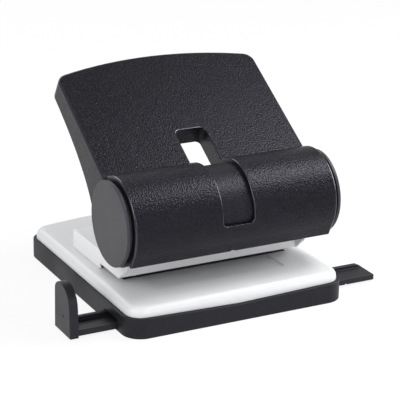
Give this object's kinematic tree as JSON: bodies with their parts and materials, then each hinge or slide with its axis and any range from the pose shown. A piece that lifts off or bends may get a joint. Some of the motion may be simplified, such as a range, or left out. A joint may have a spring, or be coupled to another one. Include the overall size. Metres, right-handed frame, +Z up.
{
  "type": "two-hole punch",
  "caption": "Desk paper punch with a wide leaning lever that ends in a round drum, a pale table over a black chip tray and a sliding paper guide.",
  "frame": {"origin": "middle of the chip tray's flat underside, midway between its sides", "axes": "+Z up, +Y to the rear away from the paper's side, +X to the right along the axle and the paper guide"},
  "size_m": [0.171, 0.135, 0.109],
  "materials": {
    "tray_black": "fine moulded grain, matte",
    "guide_black": "smooth satin moulding",
    "table_white": "light grey enamel, satin gloss",
    "frame_white": "light grey enamel, satin",
    "hard_steel": "ground tool steel",
    "bright_steel": "zinc-plated steel",
    "spring_steel": "drawn spring wire",
    "bush_brass": "turned brass",
    "lever_black": "moulded grain, satin",
    "panel_black": "smooth satin moulding",
    "cap_black": "smooth matte moulding"
  },
  "bodies": {
    "base": {"base_plate": "table_white", "die_ring_left": "hard_steel", "die_ring_right": "hard_steel", "paper_stop": "guide_black", "punch_frame": "frame_white", "frame_rivets": "bright_steel", "guide_bush_left": "bush_brass", "guide_bush_right": "bush_brass", "return_spring_left": "spring_steel", "return_spring_right": "spring_steel", "pivot_axle": "bright_steel", "axle_clips": "spring_steel"},
    "lever": {"press_bar": "bright_steel", "press_screws": "bright_steel", "lever_shell": "lever_black", "slot_panel": "panel_black", "end_cap_left": "cap_black", "end_cap_right": "cap_black"},
    "punch_left": {"punch_pin_left": "hard_steel"},
    "punch_right": {"punch_pin_right": "hard_steel"},
    "tray": {"chip_tray": "tray_black"},
    "paper_guide": {"guide_rail": "guide_black"}
  },
  "joints": [
    {"name": "lever_hinge", "type": "hinge", "parent": "base", "child": "lever", "pos_m": [0, -0.0346, 0.0504], "axis": [-1, 0, 0], "range_deg": [0, 28], "stiffness_Nm_per_rad": 0.9, "springref_deg": -28.65},
    {"name": "punch_left_slide", "type": "slide", "parent": "base", "child": "punch_left", "axis": [0, 0, -1], "range_m": [0, 0.0085], "deforming": ["return_spring_left"]},
    {"name": "punch_right_slide", "type": "slide", "parent": "base", "child": "punch_right", "axis": [0, 0, -1], "range_m": [0, 0.0085], "deforming": ["return_spring_right"]},
    {"name": "tray_drop", "type": "slide", "parent": "base", "child": "tray", "axis": [0, 0, -1], "range_m": [0, 0.03]},
    {"name": "guide_slide", "type": "slide", "parent": "tray", "child": "paper_guide", "axis": [1, 0, 0], "range_m": [-0.065, 0.0195]}
  ],
  "couplings": [
    {"joint": "punch_left_slide", "follows": "lever_hinge", "m_per_rad": 0.017},
    {"joint": "punch_right_slide", "follows": "lever_hinge", "m_per_rad": 0.017}
  ]
}
